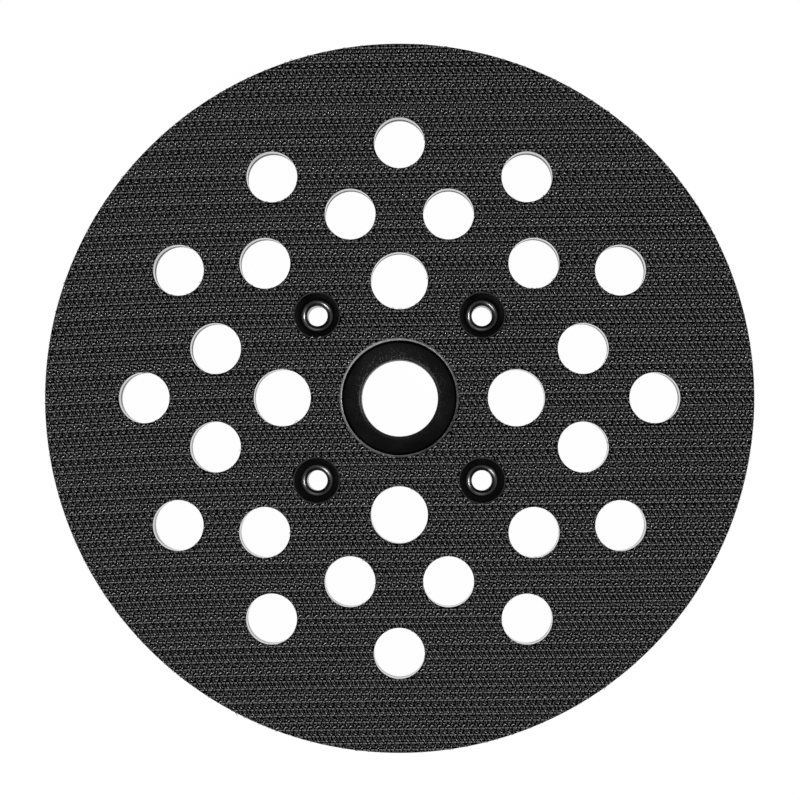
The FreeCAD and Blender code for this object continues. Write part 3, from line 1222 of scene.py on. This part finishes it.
    def pieces(self, name: str, tubes: Tubes, material: Material, slot: str,
               node: str | None = None) -> list[Object]:
        """Builds and dresses tubes as numbered pieces.

        Args:
            name: What the pieces are called, before their number.
            tubes: The tubes.
            material: Their finish.
            slot: The record's material slot; not used.
            node: The CAD node that the first piece stands for.

        Returns:
            The pieces, each of whole tubes and under `most_triangles`.
        """
        return [settle(as_object(f"{name}_{number}", band.surface(), TUBE_CREASE_DEG), material,
                       node if number == 1 else None)
                for number, band in enumerate(tubes.bands(self.most_triangles), 1)]

    def build(self) -> list[Object]:
        """Returns:
            Its pieces, with the ground cloth first.
        """
        cloth = as_object("ground_cloth", self.plan.slab(self.ground, self.bottom),
                          LAYER_CREASE_DEG)
        # The cloth's near-black colour is painted shade for the pockets between the yarns.
        settle(cloth, GroundWeave().material(), "hook_tape_weave")
        # Ridge yarns, hooks and stubs painted paler towards their tops: painted highlight.
        ridge_yarn = TapeFibre.RIDGE.between(*(self.ground + height for height in self.painted_sheen))
        ground_yarn = TapeFibre.GROUND.value.material()
        filament = TapeFibre.HOOK.between(self.ground + self.painted_highlight_from, self.hook_top)
        pieces = [*self.pieces("ridge_yarns", self.floats(), ridge_yarn, "tape_weave"),
                  *self.pieces("ground_yarns", self.ties(), ground_yarn, "tape_weave"),
                  *self.pieces("hooks", self.hooks(), filament, "hooks", "hook_pile"),
                  *self.pieces("hook_stubs", self.stubs(), filament, "hooks")]
        self.plan.area()
        return [cloth, *pieces]


@dataclass
class BondedLayers:
    """What lies between the tape and the plate: the film and the foam cushion."""

    face: CadFace
    side_height: float = 1.6 * MM
    lip_wall: float = 2.3 * MM
    lip_gap: float = 0.05 * MM
    edge_rounding: float = 0.5 * MM
    rounding_steps: int = 6
    bead_width: float = 0.2 * MM
    bead_steps: int = 5

    def film(self) -> Object:
        """Builds the adhesive film.

        Round the recess it is squeezed out in a bead, a quarter of an ellipse:
        (r - width sin t, bottom + thickness cos t) for t from 90 to 0 degrees.

        Returns:
            The dressed film.
        """
        bottom, top = self.face.levels("adhesive_film")
        plan = self.face.outline("adhesive_film")
        recess, *rest = plan.cuts
        turn = np.radians(np.linspace(90, 0, self.bead_steps + 1))
        bead = np.column_stack([recess.radius - self.bead_width * np.sin(turn),
                                bottom + (top - bottom) * np.cos(turn)])
        narrow = recess.narrowed(self.bead_width, plan.spacing)
        under, plain = replace(plan, cuts=(narrow, *rest)), replace(plan, cuts=tuple(rest))
        shape = welded([plan.face(top, True), under.face(bottom, False), plan.rim(top, bottom),
                        plan.round(recess, bead), *plain.walls(top, bottom)])
        piece = as_object("adhesive_film_sheet", shape, BEAD_CREASE_DEG)
        return settle(piece, HotMeltFilm().material(), "adhesive_film")

    def seat(self) -> float:
        """Level where the foam rests on the plate: its commonest height below its side."""
        heights = np.round(self.face.corners("foam_cushion")[:, 2], 6)
        levels, counts = np.unique(heights, return_counts=True)
        _, top = self.face.levels("foam_cushion")
        below = levels < top - self.side_height
        return float(levels[below][counts[below].argmax()])

    def foam(self) -> Object:
        """Builds the foam cushion: flat faces, cut walls, and a side that turns in round a lip.

        Returns:
            The dressed cushion.
        """
        low, top = self.face.levels("foam_cushion")
        plan, seat = self.face.outline("foam_cushion"), self.seat()
        outside = plan.edge.radius
        inside = float(self.face.reaches("backing_plate").max()) + self.lip_gap
        profile = rounded_profile(
            [(outside, top), (outside, top - self.side_height), (inside + self.lip_wall, low),
             (inside, low), (inside, seat)],
            [0, self.edge_rounding, self.edge_rounding, 0, 0], self.rounding_steps)
        lower = replace(plan, edge=Cut(0.0, 0.0, inside))
        shape = welded([plan.face(top, True), plan.round(plan.edge, profile),
                        *plan.walls(top, seat), lower.face(seat, False)])
        piece = as_object("foam_pad", shape, LAYER_CREASE_DEG)
        settle(piece, FoamSkin(inside).material(), "foam_cushion")
        return piece

    def build(self) -> list[Object]:
        """Builds both layers."""
        return [self.film(), self.foam()]


@dataclass
class HardParts:
    """The CAD pieces whose shape stays: the moulded plate and the screw bushes."""

    face: CadFace

    def build(self) -> list[Object]:
        """Dresses the plate and the bushes.

        Returns:
            The dressed pieces.
        """
        bore = float(self.face.reaches("backing_plate").min())
        nylon, steel = MouldedNylon(bore).material(), BlackSteel().material()
        dressed = []
        for name, piece in sorted(frame["nodes"].items()):
            if name == "backing_plate" or name.startswith("screw_bush"):
                piece.material_slots[0].material = nylon if name == "backing_plate" else steel
                LOG.info("%s: dressed", name)
                dressed.append(piece)
        return dressed


# ======== studio
@dataclass(frozen=True)
class Softbox:
    """A soft lamp, by direction and by its share of the plain light level."""

    name: str
    azimuth_deg: float
    elevation_deg: float
    distance: float
    size: float
    share: float

    def place(self) -> None:
        """Puts the lamp up.

        A lamp of power P at distance d and elevation e lights a level surface with
        P sin e / (pi d^2), and the plain level is pi, so P = share pi^2 d^2 / sin e.
        """
        azimuth, elevation = math.radians(self.azimuth_deg), math.radians(self.elevation_deg)
        toward = Vector((math.cos(azimuth) * math.cos(elevation),
                         math.sin(azimuth) * math.cos(elevation), math.sin(elevation)))
        lamp = bpy.data.lights.new(self.name, "AREA")
        lamp.shape, lamp.size = "DISK", self.size
        lamp.energy = self.share * math.pi ** 2 * self.distance ** 2 / math.sin(elevation)
        made = bpy.data.objects.new(self.name, lamp)
        made.location = toward * self.distance
        made.rotation_mode = "QUATERNION"
        made.rotation_quaternion = (-toward).to_track_quat("-Z", "Y")
        made.visible_camera = False
        bpy.context.scene.collection.objects.link(made)


@dataclass
class Studio:
    """Pale sweep, soft lamps and the camera."""

    floor_radius: float = 2.2
    middle_radius: float = 1.0 * MM
    sweep_radius: float = 0.5
    sweep_steps: int = 12
    wall_height: float = 1.1
    round_steps: int = 96
    backdrop: float = 0.985
    backdrop_diffuse: float = 0.03
    room_light: float = 0.15
    floor_colour: float = 0.8
    lamps: tuple[Softbox, ...] = (
        Softbox("left", 225.0, 42.0, 0.9, 0.31, 0.38),
        Softbox("right", 5.0, 38.0, 1.8, 0.58, 0.40),
        Softbox("rear", 80.0, 45.0, 2.2, 1.5, 0.07),
    )
    stand_off: float = 0.760
    aside: Span = (8.46 * MM, -12.55 * MM)
    aim: Span = (0.16 * MM, -0.50 * MM)
    view_width: float = 167.68 * MM
    sensor: float = 36.0

    def sweep(self) -> None:
        """Builds the floor that turns up into a backdrop, all round the object.

        Its profile is an upright wall, a quarter circle and the flat floor, and a polygon closes
        the middle.
        """
        turn = np.linspace(0, -math.pi / 2, self.sweep_steps + 1)
        curve = np.stack([self.floor_radius + self.sweep_radius * np.cos(turn),
                          self.sweep_radius * (1 + np.sin(turn))], -1)
        wall = [self.floor_radius + self.sweep_radius, self.wall_height]
        shape = revolved(np.concatenate([[wall], curve, [[self.middle_radius, 0.0]]]),
                         self.round_steps)
        middle = np.arange(len(shape.points) - self.round_steps, len(shape.points))
        shape.faces = [shape.faces[0][:, ::-1], middle[None]]
        floor = as_object("studio_sweep", shape)
        floor.data.materials.append(self.backdrop_material())

    def backdrop_material(self) -> Material:
        """Builds the floor's material.

        Returns:
            White to camera, glossy and transmission rays, with the object's shadow on it.
        """
        recipe = Recipe("sweep_white")
        path = recipe.node("ShaderNodeLightPath").outputs
        seen = recipe.maths("MAXIMUM", path["Is Camera Ray"], path["Is Glossy Ray"])
        shown = recipe.maths("MAXIMUM", seen, path["Is Transmission Ray"])
        plain, faint = (
            recipe.node("ShaderNodeBsdfDiffuse", Color=(level, level, level, 1.0)).outputs[0]
            for level in (self.floor_colour, self.backdrop_diffuse))
        white = recipe.node("ShaderNodeEmission", Color=(1.0, 1.0, 1.0, 1.0),
                            Strength=self.backdrop).outputs[0]
        both = recipe.node("ShaderNodeAddShader", white, faint).outputs[0]
        choice = recipe.node("ShaderNodeMixShader", shown, plain, both).outputs[0]
        recipe.node("ShaderNodeOutputMaterial", Surface=choice)
        return recipe.material

    def world(self) -> None:
        """A plain dim room round the sweep."""
        world = bpy.data.worlds.new("room")
        world.use_nodes = True
        background = world.node_tree.nodes["Background"]
        background.inputs["Color"].default_value = (1.0, 1.0, 1.0, 1.0)
        background.inputs["Strength"].default_value = self.room_light
        bpy.context.scene.world = world

    def camera(self, level: float) -> None:
        """Hangs the camera over the face.

        Args:
            level: Z of the hook tips.
        """
        place = Vector((*self.aside, level + self.stand_off))
        ahead = (Vector((*self.aim, level)) - place).normalized()
        right = ahead.cross(Vector((0, 1, 0))).normalized()
        up = right.cross(ahead)
        lens = bpy.data.cameras.new("camera")
        lens.sensor_width = self.sensor
        lens.lens = self.sensor * self.stand_off / self.view_width
        lens.clip_start, lens.clip_end = 0.01, 20.0
        made = bpy.data.objects.new("camera", lens)
        turned = Matrix((right, up, -ahead)).transposed().to_4x4()
        made.matrix_world = Matrix.Translation(place) @ turned
        bpy.context.scene.collection.objects.link(made)
        bpy.context.scene.camera = made

    def build(self, level: float) -> None:
        """Sets up everything round the object.

        Args:
            level: Z of the hook tips.
        """
        self.sweep()
        self.world()
        for lamp in self.lamps:
            lamp.place()
        self.camera(level)
        bpy.context.scene.view_settings.view_transform = "Standard"


def main() -> None:
    """Builds the pad's sub-assemblies in order, then the studio."""
    logging.basicConfig(level=logging.INFO, format="%(name)s: %(message)s")
    face = CadFace()
    for assembly in (HardParts(face), BondedLayers(face), HookTape(face)):
        pieces = assembly.build()
        LOG.info("%s: %d pieces", type(assembly).__name__, len(pieces))
    _, top = CadFace.levels("hook_pile")
    Studio().build(top)


if __name__ == "__main__":
    main()
